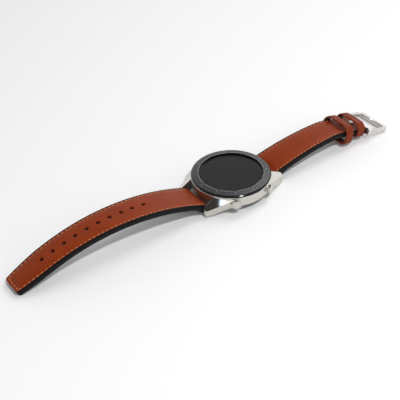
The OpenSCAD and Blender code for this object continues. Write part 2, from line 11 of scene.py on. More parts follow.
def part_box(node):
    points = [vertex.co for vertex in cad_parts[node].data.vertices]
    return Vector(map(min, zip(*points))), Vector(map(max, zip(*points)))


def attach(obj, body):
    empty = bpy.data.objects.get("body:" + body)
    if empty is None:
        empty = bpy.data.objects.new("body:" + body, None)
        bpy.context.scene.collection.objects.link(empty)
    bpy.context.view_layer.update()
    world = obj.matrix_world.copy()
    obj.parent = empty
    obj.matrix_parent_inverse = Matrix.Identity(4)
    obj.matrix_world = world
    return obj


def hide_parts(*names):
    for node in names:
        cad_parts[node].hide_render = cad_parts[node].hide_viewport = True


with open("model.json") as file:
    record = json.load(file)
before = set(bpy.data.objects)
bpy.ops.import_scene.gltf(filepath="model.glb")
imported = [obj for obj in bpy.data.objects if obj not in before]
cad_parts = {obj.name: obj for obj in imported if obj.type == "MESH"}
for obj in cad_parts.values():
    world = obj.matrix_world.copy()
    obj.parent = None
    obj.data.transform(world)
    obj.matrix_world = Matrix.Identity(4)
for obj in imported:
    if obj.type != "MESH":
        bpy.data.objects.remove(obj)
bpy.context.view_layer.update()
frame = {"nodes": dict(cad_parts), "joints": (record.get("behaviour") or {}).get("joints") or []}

mm = 0.001
joints = {joint["name"]: joint for joint in frame["joints"]}
print("frame loaded:", len(frame["nodes"]), "nodes")


# meshes
def gridFaces(rows, cols, closeCols=False, offset=0):
    # quads of a rows x cols grid of points stored row by row; closeCols joins the last column to the first
    r, c = np.meshgrid(np.arange(rows - 1), np.arange(cols if closeCols else cols - 1), indexing="ij")
    a = r * cols + c
    b = r * cols + (c + 1) % cols
    return np.stack([a, b, b + cols, a + cols], -1).reshape(-1, 4) + offset


def weld(points, faces, *fields):
    # joins points that share a place and drops faces that fold to a line; fields are kept point by point
    key = np.round(points * 2e7).astype(np.int64)
    _, first, back = np.unique(key, axis=0, return_index=True, return_inverse=True)
    back = back.reshape(-1)
    kept = [back[np.asarray(face)] for face in faces]
    trimmed = [[int(v) for i, v in enumerate(f) if v != f[i - 1]] for f in kept]
    trimmed = [f for f in trimmed if len(set(f)) == len(f) and len(f) > 2]
    return (points[first], trimmed) + tuple(field[first] for field in fields)


def meshPiece(name, points, faces, finish, body, fields=None):
    # a finished piece: points in metres in the frame's own axes, object at the origin
    mesh = bpy.data.meshes.new(name)
    mesh.from_pydata(np.asarray(points, float).tolist(), [], [list(map(int, f)) for f in faces])
    for key, values in (fields or {}).items():
        layer = mesh.attributes.new(key, "FLOAT_VECTOR", "POINT")
        layer.data.foreach_set("vector", np.asarray(values, np.float32).ravel())
    mesh.polygons.foreach_set("use_smooth", [True] * len(mesh.polygons))
    bm = bmesh.new()
    bm.from_mesh(mesh)
    bmesh.ops.recalc_face_normals(bm, faces=bm.faces[:])
    bm.to_mesh(mesh)
    bm.free()
    mesh.update()
    piece = bpy.data.objects.new(name, mesh)
    bpy.context.scene.collection.objects.link(piece)
    piece.data.materials.append(finish)
    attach(piece, body)
    return piece


def sharpen(piece, angle=40):
    # smooth shading that breaks at edges steeper than the angle
    bpy.context.view_layer.objects.active = piece
    for other in bpy.context.selected_objects:
        other.select_set(False)
    piece.select_set(True)
    bpy.ops.object.shade_smooth_by_angle(angle=math.radians(angle))
    for modifier in list(piece.modifiers):
        bpy.ops.object.modifier_apply(modifier=modifier.name)


# finishes
def blankMaterial(name):
    material = bpy.data.materials.new(name)
    material.use_nodes = True
    nodes, links = material.node_tree.nodes, material.node_tree.links
    return material, nodes, links, nodes["Principled BSDF"]


def finish(name, color, dark=None, rough=0.4, metal=0.0, grain=900, bump=0.1, depth=0.02, stretch=(1, 1, 1),
           roughSpread=0.08, coat=0.0, coatRough=0.1, bevel=0.0, transmission=0.0, ior=1.45, sheen=0.0,
           shine=0.5):
    # colour and roughness vary with a fine noise, which also drives a shallow bump
    material, nodes, links, shader = blankMaterial(name)
    place = nodes.new("ShaderNodeTexCoord")
    turn = nodes.new("ShaderNodeMapping")
    turn.inputs["Scale"].default_value = stretch
    noise = nodes.new("ShaderNodeTexNoise")
    noise.inputs["Scale"].default_value = grain
    noise.inputs["Detail"].default_value = 6
    blotch = nodes.new("ShaderNodeTexNoise")
    blotch.inputs["Scale"].default_value = grain * 0.06
    blotch.inputs["Detail"].default_value = 3
    mix = nodes.new("ShaderNodeMix")
    mix.data_type = "RGBA"
    darker = dark or tuple(c * 0.8 for c in color)
    mix.inputs[6].default_value = (*darker, 1)
    mix.inputs[7].default_value = (*color, 1)
    spread = nodes.new("ShaderNodeMapRange")
    spread.inputs["To Min"].default_value = max(rough - roughSpread, 0.02)
    spread.inputs["To Max"].default_value = rough + roughSpread
    relief = nodes.new("ShaderNodeBump")
    relief.inputs["Strength"].default_value = bump
    relief.inputs["Distance"].default_value = depth * mm
    links.new(place.outputs["Object"], turn.inputs["Vector"])
    links.new(turn.outputs["Vector"], noise.inputs["Vector"])
    links.new(turn.outputs["Vector"], blotch.inputs["Vector"])
    links.new(blotch.outputs["Fac"], mix.inputs[0])
    links.new(noise.outputs["Fac"], spread.inputs["Value"])
    links.new(noise.outputs["Fac"], relief.inputs["Height"])
    links.new(mix.outputs[2], shader.inputs["Base Color"])
    links.new(spread.outputs["Result"], shader.inputs["Roughness"])
    links.new(relief.outputs["Normal"], shader.inputs["Normal"])
    if bevel:
        softEdge = nodes.new("ShaderNodeBevel")
        softEdge.samples = 6
        softEdge.inputs["Radius"].default_value = bevel * mm
        links.new(softEdge.outputs["Normal"], relief.inputs["Normal"])
    shader.inputs["Metallic"].default_value = metal
    shader.inputs["Coat Weight"].default_value = coat
    shader.inputs["Coat Roughness"].default_value = coatRough
    shader.inputs["Transmission Weight"].default_value = transmission
    shader.inputs["IOR"].default_value = ior
    shader.inputs["Sheen Weight"].default_value = sheen
    shader.inputs["Specular IOR Level"].default_value = shine
    return material


def steelFinish(name, color, satin, polished, facing):
    # satin where the surface stands upright, polished where it faces up by more than the given slopes
    material, nodes, links, shader = blankMaterial(name)
    place = nodes.new("ShaderNodeTexCoord")
    split = nodes.new("ShaderNodeSeparateXYZ")
    mask = nodes.new("ShaderNodeMapRange")
    mask.inputs["From Min"].default_value = facing[0]
    mask.inputs["From Max"].default_value = facing[1]
    noise = nodes.new("ShaderNodeTexNoise")
    noise.inputs["Scale"].default_value = 2600
    noise.inputs["Detail"].default_value = 4
    streak = nodes.new("ShaderNodeMapping")
    streak.inputs["Scale"].default_value = (1, 1, 0.12)
    brushed = nodes.new("ShaderNodeMapRange")
    brushed.inputs["To Min"].default_value = satin - 0.07
    brushed.inputs["To Max"].default_value = satin + 0.09
    rough = nodes.new("ShaderNodeMix")
    rough.inputs[3].default_value = polished
    depth = nodes.new("ShaderNodeMapRange")
    depth.inputs["To Min"].default_value = 0.16
    depth.inputs["To Max"].default_value = 0.0
    relief = nodes.new("ShaderNodeBump")
    relief.inputs["Distance"].default_value = 0.012 * mm
    softEdge = nodes.new("ShaderNodeBevel")
    softEdge.samples = 6
    softEdge.inputs["Radius"].default_value = 0.16 * mm
    tint = nodes.new("ShaderNodeMix")
    tint.data_type = "RGBA"
    tint.inputs[6].default_value = (*[c * 0.86 for c in color], 1)
    tint.inputs[7].default_value = (*color, 1)
    links.new(place.outputs["Normal"], split.inputs["Vector"])
    links.new(split.outputs["Z"], mask.inputs["Value"])
    links.new(place.outputs["Object"], streak.inputs["Vector"])
    links.new(streak.outputs["Vector"], noise.inputs["Vector"])
    links.new(noise.outputs["Fac"], brushed.inputs["Value"])
    links.new(mask.outputs["Result"], rough.inputs[0])
    links.new(brushed.outputs["Result"], rough.inputs[2])
    links.new(rough.outputs[0], shader.inputs["Roughness"])
    links.new(mask.outputs["Result"], depth.inputs["Value"])
    links.new(depth.outputs["Result"], relief.inputs["Strength"])
    links.new(noise.outputs["Fac"], relief.inputs["Height"])
    links.new(noise.outputs["Fac"], tint.inputs[0])
    links.new(tint.outputs[2], shader.inputs["Base Color"])
    links.new(softEdge.outputs["Normal"], relief.inputs["Normal"])
    links.new(relief.outputs["Normal"], shader.inputs["Normal"])
    shader.inputs["Metallic"].default_value = 1.0
    return material


def leatherFinish(name, color, dark, edge, rough=0.42):
    # smooth hide: small cells and pores follow the strap; "flat" holds (along, across, side) for every point;
    # the third colour goes where side is set: black edge ink on the straps, painted shade on the keepers'
    # inside faces
    material, nodes, links, shader = blankMaterial(name)
    place = nodes.new("ShaderNodeAttribute")
    place.attribute_name = "flat"
    side = nodes.new("ShaderNodeSeparateXYZ")
    surface = nodes.new("ShaderNodeVectorMath")
    surface.operation = "MULTIPLY"
    surface.inputs[1].default_value = (1, 1, 0)
    cells = nodes.new("ShaderNodeTexVoronoi")
    cells.inputs["Scale"].default_value = 1500
    cells.inputs["Randomness"].default_value = 1.0
    fine = nodes.new("ShaderNodeTexNoise")
    fine.inputs["Scale"].default_value = 2200
    fine.inputs["Detail"].default_value = 5
    cloud = nodes.new("ShaderNodeTexNoise")
    cloud.inputs["Scale"].default_value = 90
    cloud.inputs["Detail"].default_value = 4
    height = nodes.new("ShaderNodeMath")
    height.operation = "ADD"
    mixColor = nodes.new("ShaderNodeMix")
    mixColor.data_type = "RGBA"
    mixColor.inputs[6].default_value = (*dark, 1)
    mixColor.inputs[7].default_value = (*color, 1)
    stretchCloud = nodes.new("ShaderNodeMapRange")
    stretchCloud.inputs["From Min"].default_value = 0.25
    stretchCloud.inputs["From Max"].default_value = 0.6
    # third colour where side is set: black edge ink on strap sides, painted shade on keeper insides
    edgeInkAndInsideShade = nodes.new("ShaderNodeMix")
    edgeInkAndInsideShade.data_type = "RGBA"
    edgeInkAndInsideShade.inputs[7].default_value = (*edge, 1)
    relief = nodes.new("ShaderNodeBump")
    relief.inputs["Strength"].default_value = 0.22
    relief.inputs["Distance"].default_value = 0.05 * mm
    gloss = nodes.new("ShaderNodeMapRange")
    gloss.inputs["To Min"].default_value = rough - 0.07
    gloss.inputs["To Max"].default_value = rough + 0.1
    links.new(place.outputs["Vector"], side.inputs["Vector"])
    links.new(place.outputs["Vector"], surface.inputs[0])
    for texture in (cells, fine, cloud):
        links.new(surface.outputs["Vector"], texture.inputs["Vector"])
    links.new(cells.outputs["Distance"], height.inputs[0])
    links.new(fine.outputs["Fac"], height.inputs[1])
    links.new(height.outputs[0], relief.inputs["Height"])
    links.new(cloud.outputs["Fac"], stretchCloud.inputs["Value"])
    links.new(stretchCloud.outputs["Result"], mixColor.inputs[0])
    links.new(mixColor.outputs[2], edgeInkAndInsideShade.inputs[6])
    links.new(side.outputs["Z"], edgeInkAndInsideShade.inputs[0])
    links.new(edgeInkAndInsideShade.outputs[2], shader.inputs["Base Color"])
    links.new(fine.outputs["Fac"], gloss.inputs["Value"])
    links.new(gloss.outputs["Result"], shader.inputs["Roughness"])
    links.new(relief.outputs["Normal"], shader.inputs["Normal"])
    shine = nodes.new("ShaderNodeMapRange")
    shine.inputs["To Min"].default_value = 0.12
    shine.inputs["To Max"].default_value = 0.06
    links.new(side.outputs["Z"], shine.inputs["Value"])
    links.new(shine.outputs["Result"], shader.inputs["Specular IOR Level"])
    return material


finishes = {
    "steel": steelFinish("satinSteel", (0.66, 0.635, 0.585), satin=0.34, polished=0.03, facing=(0.25, 0.5)),
    "polishedSteel": finish("polishedSteel", (0.66, 0.64, 0.60), rough=0.16, metal=1.0, grain=2200,
                            bevel=0.1),
    "buckleSteel": finish("buckleSteel", (0.70, 0.68, 0.64), rough=0.27, metal=1.0, grain=2600, bump=0.12,
                          stretch=(1, 0.2, 1)),
    "leather": leatherFinish("saddleLeather", (0.225, 0.031, 0.004), (0.19, 0.024, 0.003),
                             (0.006, 0.0055, 0.0055)),
    # the keepers' third colour is a darker brown that paints the shade inside the loop
    "keeperLeather": leatherFinish("keeperLeather", (0.18, 0.026, 0.005), (0.14, 0.020, 0.004),
                                   (0.10, 0.022, 0.010)),
    "lining": finish("rubberLining", (0.005, 0.005, 0.005), rough=0.6, grain=1400, bump=0.35, depth=0.05,
                     shine=0.2),
    "thread": finish("tanThread", (0.56, 0.22, 0.085), rough=0.75, grain=5200, bump=0.5, depth=0.04,
                     sheen=0.2),
    "coating": finish("bezelCoating", (0.045, 0.045, 0.046), rough=0.4, metal=0.2, grain=2600, bump=0.12,
                      roughSpread=0.06),
    "rimBlack": finish("bezelRim", (0.012, 0.012, 0.013), rough=0.12, metal=0.3, grain=2200, bump=0.03),
    "enamel": finish("markEnamel", (0.25, 0.25, 0.245), rough=0.5, grain=3000),
    "glass": finish("coverGlass", (1, 1, 1), (0.96, 0.97, 0.98), rough=0.02, roughSpread=0.0, grain=300,
                    bump=0.0, transmission=1.0, ior=1.3),
    "display": finish("displayOff", (0.004, 0.0036, 0.0038), rough=0.5, roughSpread=0.02, grain=260,
                      bump=0.0, shine=0.0),
    "window": finish("sensorGlass", (0.010, 0.011, 0.014), rough=0.08, roughSpread=0.03, grain=700, bump=0.02,
                     coat=0.6),
    "cover": finish("coverBlack", (0.013, 0.013, 0.014), rough=0.42, grain=3200, bump=0.22, depth=0.03),
    "framePlastic": finish("framePlastic", (0.045, 0.046, 0.05), rough=0.5, grain=1800, bump=0.2),
    "tape": finish("foamTape", (0.016, 0.016, 0.016), rough=0.8, grain=2600, bump=0.5),
    "film": finish("amberFilm", (0.42, 0.17, 0.03), rough=0.3, grain=1200, coat=0.3),
    "board": finish("boardGreen", (0.012, 0.11, 0.05), rough=0.35, grain=1500, bump=0.2, coat=0.3),
    "chip": finish("chipBlack", (0.016, 0.016, 0.017), rough=0.55, grain=3500, bump=0.2),
    "tin": finish("tinPlate", (0.56, 0.57, 0.58), rough=0.3, metal=1.0, grain=1500, bump=0.15, bevel=0.08),
    "pouch": finish("cellPouch", (0.10, 0.11, 0.13), rough=0.35, metal=0.6, grain=700, bump=0.3, depth=0.1),
    "lens": finish("clearPackage", (0.62, 0.70, 0.52), rough=0.15, grain=900, coat=0.5),
    "gold": finish("goldPlate", (0.80, 0.56, 0.25), rough=0.22, metal=1.0, grain=1800, bevel=0.06),
    "seal": finish("sealSilicone", (0.30, 0.04, 0.025), rough=0.5, grain=2200, bump=0.2),
    "gasket": finish("gasketRubber", (0.02, 0.02, 0.021), rough=0.65, grain=2400, bump=0.3),
}
nodeFinish = {
    "steel": ["case_frame", "button_upper", "button_lower"],
    "polishedSteel": ["back_screws", "spring_bar_long", "release_pin_long", "spring_bar_short",
                      "release_pin_short", "buckle_bar", "buckle_tongue"],
    "glass": ["cover_glass"], "display": ["display_panel"], "window": ["sensor_window"],
    "cover": ["back_cover"], "framePlastic": ["inner_frame"], "tape": ["glass_gasket"],
    "film": ["display_flex", "battery_flex", "sensor_flex", "switch_flex"],
    "board": ["main_board", "sensor_board"], "chip": ["board_chips"], "pouch": ["battery"],
    "tin": ["shield_can", "vibration_motor", "switch_upper", "switch_lower", "button_clip_upper",
            "button_clip_lower"],
    "lens": ["sensor_leds"], "gold": ["antenna", "charging_pins"],
    "seal": ["button_seal_upper", "button_seal_lower"], "gasket": ["back_gasket"],
}
for finishName, nodeNames in nodeFinish.items():
    for nodeName in nodeNames:
        slots = frame["nodes"][nodeName].data.materials
        if len(slots):
            for index in range(len(slots)):
                slots[index] = finishes[finishName]
        else:
            slots.append(finishes[finishName])
print("finishes assigned")

# the strap's line
# Every strap lies on a line of arcs in the plane x = 0: half a turn round the spring bar, an arc up, an arc
# down and a straight end. Sizes are in millimetres, and the turns are in degrees.
barPlace = [v / mm for v in joints["strap_short_pivot"]["pos_m"]]
bucklePlace = [v / mm for v in joints["buckle_pivot"]["pos_m"]]
longReach = -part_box("strap_long_leather")[0].y / mm
layers = {"leather": 1.2, "lining": 1.8, "loop": 2.4, "pad": 0.55, "swell": 0.12, "margin": 2.5, "ramp": 1.5,
          "edge": 0.38, "seam": 1.55, "groove": 0.1, "grooveWidth": 0.45, "glueLine": 0.01, "floorGap": 0.02,
          "painted": 0.76}
longStrap = {"side": -1, "apexY": 80.0, "fallRadius": 120.0, "fallTurn": 22.0, "tipStart": 118.0,
             "widthPlaces": [barPlace[1], 48.0, 118.0], "widths": [21.2, 20.0, 17.6],
             "tipWidth": 13.6, "tipCorner": 1.6,
             "holes": 10, "holePitch": 7.0, "holeCell": 3.5, "firstHole": 20.3, "holeRadius": 1.2,
             "body": "strap_long"}
shortStrap = {"side": 1, "apexY": 71.8, "apexZ": 11.95, "fallRadius": 30.0, "fallTurn": 13.5,
              "straight": 21.3, "padOverlap": 2.2, "slotReach": 2.5, "hornHalf": 9.0, "liningHornHalf": 8.95,
              "wedge": 3.5, "widthPlaces": [barPlace[1], 80.0], "widths": [21.2, 18.0], "endLoop": 1.9,
              "slot": 1.5, "body": "strap_short"}


def layOut(strap, apexZ, lastStraight):
    # stretches as (length, total turn); headings are slopes, and every turn is downward
    rise = apexZ - barPlace[2]
    span = strap["apexY"] - barPlace[1]
    radius = (span ** 2 + rise ** 2 - layers["loop"] ** 2) / (2 * (rise - layers["loop"]))
    slope = math.asin(span / (radius - layers["loop"]))
    fall = math.radians(strap["fallTurn"])
    loop = layers["loop"]
    strap["slope"] = slope
    strap["start"] = (barPlace[1] + loop * math.sin(slope), barPlace[2] - loop * math.cos(slope),
                      slope + math.pi)
    strap["stretches"] = [(math.pi * loop, -math.pi), (radius * slope, -slope),
                          (strap["fallRadius"] * fall, -fall), (lastStraight, 0.0)]
    if "endLoop" in strap:
        strap["stretches"].append((math.pi * strap["endLoop"], -math.pi))
    strap["zero"] = -math.pi * loop          # s is measured from where the strap leaves the loop
    strap["straightEnd"] = sum(length for length, _ in strap["stretches"][1:4])


def lineAt(strap, s):
    # position and heading at arc length s: the chord of an arc is (sin h1 - sin h0, cos h0 - cos h1) / k
    y = np.full(np.shape(s), strap["start"][0])
    z = np.full(np.shape(s), strap["start"][1])
    heading = np.full(np.shape(s), strap["start"][2])
    begin, h0 = strap["zero"], strap["start"][2]
    for length, turn in strap["stretches"]:
        local = np.clip(s - begin, 0, length)
        if turn:
            k = turn / length
            y = y + (np.sin(h0 + k * local) - np.sin(h0)) / k
            z = z - (np.cos(h0 + k * local) - np.cos(h0)) / k
            heading = heading + k * local
        else:
            y = y + np.cos(h0) * local
            z = z + np.sin(h0) * local
        begin, h0 = begin + length, h0 + turn
    return y, z, heading


def onStrap(strap, s, x, d):
    # a point x across and d above the line, in metres
    y, z, heading = lineAt(strap, s)
    return np.stack([x + 0 * y, strap["side"] * (y - d * np.sin(heading)), z + d * np.cos(heading)], -1) * mm


def step(a, b, v):
    # smooth step: 3t^2 - 2t^3 between a and b
    t = np.clip((v - a) / (b - a), 0, 1)
    return t * t * (3 - 2 * t)


fallL = math.radians(longStrap["fallTurn"])
tipRun = longReach - longStrap["apexY"] - longStrap["fallRadius"] * math.sin(fallL)
longApexZ = ((layers["leather"] + layers["lining"]) * math.cos(fallL) + tipRun * math.tan(fallL)
             + longStrap["fallRadius"] * (1 - math.cos(fallL)) + layers["floorGap"])
layOut(longStrap, longApexZ, tipRun / math.cos(fallL))
layOut(shortStrap, shortStrap["apexZ"], shortStrap["straight"])


def halfWidth(strap, s):
    # straight tapers; the long strap's tip narrows as a square law and ends in two round corners
    y = lineAt(strap, s)[0]
    half = np.interp(y, strap["widthPlaces"], strap["widths"]) / 2
    if strap is shortStrap:
        return half
    t = np.clip((y - strap["tipStart"]) / (longReach - strap["tipStart"]), 0, 1)
    half = half - (strap["widths"][-1] - strap["tipWidth"]) / 2 * t ** 2
    bend = strap["tipCorner"]
    left = np.clip(strap["straightEnd"] - s, 0, bend)
    return half - bend + np.sqrt(np.clip(bend ** 2 - (bend - left) ** 2, 0, None))


def edgeDrop(e, r):
    # how far a rounded edge of radius r has fallen at distance e from the side
    inner = np.clip(r - e, 0, r)
    return r - np.sqrt(np.clip(r * r - inner * inner, 0, None))


def leatherTop(strap, s, x, hw):
    # padded field inside the stitched margins, a shallow groove under the stitches, rounded edges
    e = hw - np.abs(x)
    last = strap["padEnd"] - s
    inside = np.minimum(np.minimum(e, last), s + 1.5)
    field = step(layers["margin"], layers["margin"] + layers["ramp"], inside)
    swell = layers["swell"] * step(layers["margin"], hw, inside)
    seam = np.minimum(e, last) if strap is longStrap else e
    groove = layers["groove"] * np.exp(-((seam - layers["seam"]) / layers["grooveWidth"]) ** 2) * (s > 0)
    ending = edgeDrop(np.clip(strap["straightEnd"] - s, 0, 9), layers["edge"]) if strap is longStrap else 0
    return layers["pad"] * field + swell - groove - edgeDrop(e, layers["edge"]) - ending


def stripMesh(strap, sLines, top, bottom, xLow=None, xHigh=None, holes=(), edge=0.3, core=3.0):
    # one strip closed round its section: side panels that run top, side, underside, and a core strip with the
    # holes; the ends stay open for capEnds
    hw = halfWidth(strap, sLines)
    low = -hw if xLow is None else np.full_like(hw, xLow)
    high = hw if xHigh is None else np.full_like(hw, xHigh)
    split = xLow is not None or xHigh is not None
    points, faces, sides = [], [], []

    def add(s, x, d, side, quads):
        points.append(np.stack(np.broadcast_arrays(s, x, d), -1).reshape(-1, 3))
        sides.append(np.broadcast_to(side, np.broadcast(s, x, d).shape).reshape(-1))
        faces.extend((quads + sum(len(p) for p in points[:-1])).tolist())

    near = np.array([0, 0.04, 0.12, 0.24, 0.4, 0.75, 1.15, 1.55, 1.95, 2.4, 2.8, 3.2, 3.6, 4.0])
    middle = (low + high) / 2 if split else np.zeros_like(hw)
    coreHalf = np.minimum(core, (high - low) / 2 * 0.35) if split else np.full_like(hw, core)
    for sign in (-1, 1):
        edgeX = high if sign > 0 else low
        room = np.abs(edgeX - middle) - coreHalf
        scale = np.minimum(1, room / 4.6)[:, None]
        inward = np.concatenate([near[None] * scale, 4.0 * scale + (room[:, None] - 4.0 * scale)
                                 * np.array([0.34, 0.67, 1.0])], 1)
        x = edgeX[:, None] - sign * inward
        s = np.repeat(sLines[:, None], x.shape[1], 1)
        hwGrid = np.repeat(hw[:, None], x.shape[1], 1)
        dropS = edgeDrop(inward, edge) if split else 0
        dTop = top(s, x, hwGrid) - dropS
        dLow = bottom(s, x, hwGrid) + edgeDrop(inward, 0.15)
        rows = len(sLines)
        xs = np.concatenate([x[:, ::-1], x], 1)
        ds = np.concatenate([dTop[:, ::-1], dLow], 1)
        inkTop = (inward[:, ::-1] < layers["painted"]) * 1.0
        ink = np.concatenate([inkTop, np.ones_like(x)], 1)
        add(np.repeat(sLines[:, None], xs.shape[1], 1), xs, ds, ink, gridFaces(rows, xs.shape[1]))
    # core strip, top and underside
    across = np.linspace(-1, 1, 9)
    inHole = np.zeros(len(sLines) - 1, bool)
    for centre in holes:
        reach = strap["holeCell"] + 0.01
        inHole |= (sLines[:-1] > centre - reach) & (sLines[1:] < centre + reach)
    for surface, ink in ((top, 0.0), (bottom, 1.0)):
        x = middle[:, None] + coreHalf[:, None] * across
        s = np.repeat(sLines[:, None], 9, 1)
        hwGrid = np.repeat(hw[:, None], 9, 1)
        quads = gridFaces(len(sLines), 9).reshape(len(sLines) - 1, 8, 4)
        add(s, x, surface(s, x, hwGrid), ink, quads[~inHole].reshape(-1, 4))
    # round holes: rings from the square cell to the circle, then the wall
    cell = np.linspace(-1, 1, 9)
    square = np.concatenate([np.stack([cell[:-1], -np.ones(8)], -1), np.stack([np.ones(8), cell[:-1]], -1),
                             np.stack([cell[::-1][:-1], np.ones(8)], -1),
                             np.stack([-np.ones(8), cell[::-1][:-1]], -1)])
    unit = square / np.linalg.norm(square, axis=1)[:, None]
    for centre in holes:
        r = strap["holeRadius"]
        outline = square * np.array([strap["holeCell"], core])
        rings = [outline] + [unit * radius * (1 - w) + outline * w for radius, w in
                             ((r + 0.5, 0.45), (r + 0.4, 0.0), (r + 0.15, 0.0), (r + 0.04, 0.0), (r, 0.0))]
        sinks = [0, 0, 0, 0.05, 0.14, 0.28]
        ringFaces = gridFaces(len(rings), 32, closeCols=True)
        wall = []
        for surface, ink, sign in ((top, 0.0, 1), (bottom, 1.0, -1)):
            s = centre + np.stack([ring[:, 0] for ring in rings])
            x = np.stack([ring[:, 1] for ring in rings])
            hwGrid = np.interp(s, sLines, hw)
            d = surface(s, x, hwGrid) - sign * np.array(sinks)[:, None] * (1 if sign > 0 else 0.4)
            add(s, x, d, ink, ringFaces)
            wall.append((s[-1], x[-1], d[-1]))
        s, x, d = (np.stack([wall[0][i], wall[1][i]]) for i in range(3))
        add(s, x, d, 1.0, gridFaces(2, 32, closeCols=True))
    flat = np.concatenate(points)
    side = np.concatenate(sides)
    space = onStrap(strap, flat[:, 0], flat[:, 1], flat[:, 2])
    info = np.stack([flat[:, 0] * mm, flat[:, 1] * mm, side], -1)
    space, faces, info = weld(space, faces, info)
    return space, faces, info


def capEnds(piece):
    # closes the open end rings of a strip with flat faces
    bm = bmesh.new()
    bm.from_mesh(piece.data)
    rim = [edge for edge in bm.edges if edge.is_boundary]
    bmesh.ops.holes_fill(bm, edges=rim, sides=0)
    bmesh.ops.recalc_face_normals(bm, faces=bm.faces[:])
    bm.to_mesh(piece.data)
    bm.free()


def stripPiece(name, strap, sLines, top, bottom, finishName, slot, **kwargs):
    space, faces, info = stripMesh(strap, sLines, top, bottom, **kwargs)
    piece = meshPiece(name, space, faces, finishes[finishName], strap["body"], {"flat": info})
    capEnds(piece)
    return piece


def spaced(low, high, gap):
    return np.linspace(low, high, max(2, int(round((high - low) / gap)) + 1))


def joinPieces(pieces, name):
    # one object from several, at the origin
    bpy.ops.object.select_all(action="DESELECT")
    for piece in pieces:
        piece.select_set(True)
    bpy.context.view_layer.objects.active = pieces[0]
    bpy.ops.object.join()
    pieces[0].name = name
    return pieces[0]


holePlaces = [longStrap["straightEnd"] - longStrap["firstHole"] - i * longStrap["holePitch"]
              for i in range(longStrap["holes"])]
longStrap["padEnd"] = longStrap["straightEnd"]
shortStrap["padEnd"] = shortStrap["straightEnd"] - shortStrap["straight"] + shortStrap["padOverlap"]
tipEnd = longStrap["straightEnd"]
holeField = (holePlaces[-1] - longStrap["holeCell"], holePlaces[0] + longStrap["holeCell"])
fineEnd = tipEnd - np.array([longStrap["tipCorner"], 1.3, 1.0, 0.75, 0.5, 0.3, 0.15, 0.05, 0.0])
holeLines = spaced(*holeField, longStrap["holeCell"] / 4)
longLines = np.concatenate([spaced(0, holeField[0], 0.9)[:-1], holeLines,
                            spaced(holeField[1], fineEnd[0], 0.8)[1:-1], fineEnd])
loopLines = spaced(longStrap["zero"], 0, 0.38)[:-1]
thick = layers["leather"] + layers["lining"]


def leatherUnder(s, x, hw):
    return np.full(np.shape(s), -layers["leather"])


def liningTop(s, x, hw):
    return np.full(np.shape(s), -layers["leather"] - layers["glueLine"])


def liningUnder(strap):
    # 3 mm under the line, thicker towards the bars
    def under(s, x, hw):
        deep = thick + (2 * layers["loop"] - thick) * (1 - step(0, 8, s))
        if strap is shortStrap:
            wedge = step(-strap["wedge"], 0, s - strap["straightEnd"])
            deep = np.maximum(deep, thick + (2 * strap["endLoop"] - thick) * wedge)
        return -deep
    return under


def topOf(strap):
    return lambda s, x, hw: leatherTop(strap, s, x, hw)


def hornSides(half):
    # the two horns beside the tongue's slot, as (low, high) places across the strap
    return (-half, -shortStrap["slot"]), (shortStrap["slot"], half)


longLeather = stripPiece("longStrapLeather", longStrap, np.concatenate([loopLines, longLines]),
                         topOf(longStrap), leatherUnder, "leather", "leather_brown", holes=holePlaces)
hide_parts("strap_long_leather")
longLining = stripPiece("longStrapLining", longStrap, longLines, liningTop, liningUnder(longStrap), "lining",
                        "rubber_black", holes=holePlaces)
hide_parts("strap_long_lining")
print("long strap built:", len(longLeather.data.polygons), "faces")

shortEnd = shortStrap["straightEnd"]
slotStart = shortEnd - shortStrap["slotReach"]
mainLines = np.concatenate([loopLines, spaced(0, slotStart, 0.9)])
hornLines = np.concatenate([spaced(slotStart, shortEnd, 0.5)[:-1],
                            spaced(shortEnd, shortEnd + math.pi * shortStrap["endLoop"], 0.35)])
parts = [stripPiece("shortStrapLeather", shortStrap, mainLines, topOf(shortStrap), leatherUnder, "leather",
                    "leather_brown")]
for low, high in hornSides(shortStrap["hornHalf"]):
    parts.append(stripPiece("shortStrapHorn", shortStrap, hornLines, topOf(shortStrap),
                            leatherUnder, "leather", "leather_brown", xLow=low, xHigh=high))
shortLeather = joinPieces(parts, "shortStrapLeather")
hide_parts("strap_short_leather")
parts = [stripPiece("shortStrapLining", shortStrap, spaced(0, slotStart, 0.9), liningTop,
                    liningUnder(shortStrap), "lining", "rubber_black")]
for low, high in hornSides(shortStrap["liningHornHalf"]):
    parts.append(stripPiece("shortLiningHorn", shortStrap, spaced(slotStart, shortEnd, 0.5), liningTop,
                            liningUnder(shortStrap), "lining", "rubber_black", xLow=low, xHigh=high))
shortLining = joinPieces(parts, "shortStrapLining")
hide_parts("strap_short_lining")
print("short strap built")

# stitching
stitching = {"pitch": 2.7, "length": 2.0, "thread": 0.24, "arch": 0.2, "sunk": 0.12, "slant": 0.1,
             "start": 2.2, "steps": 8, "sides": 6}


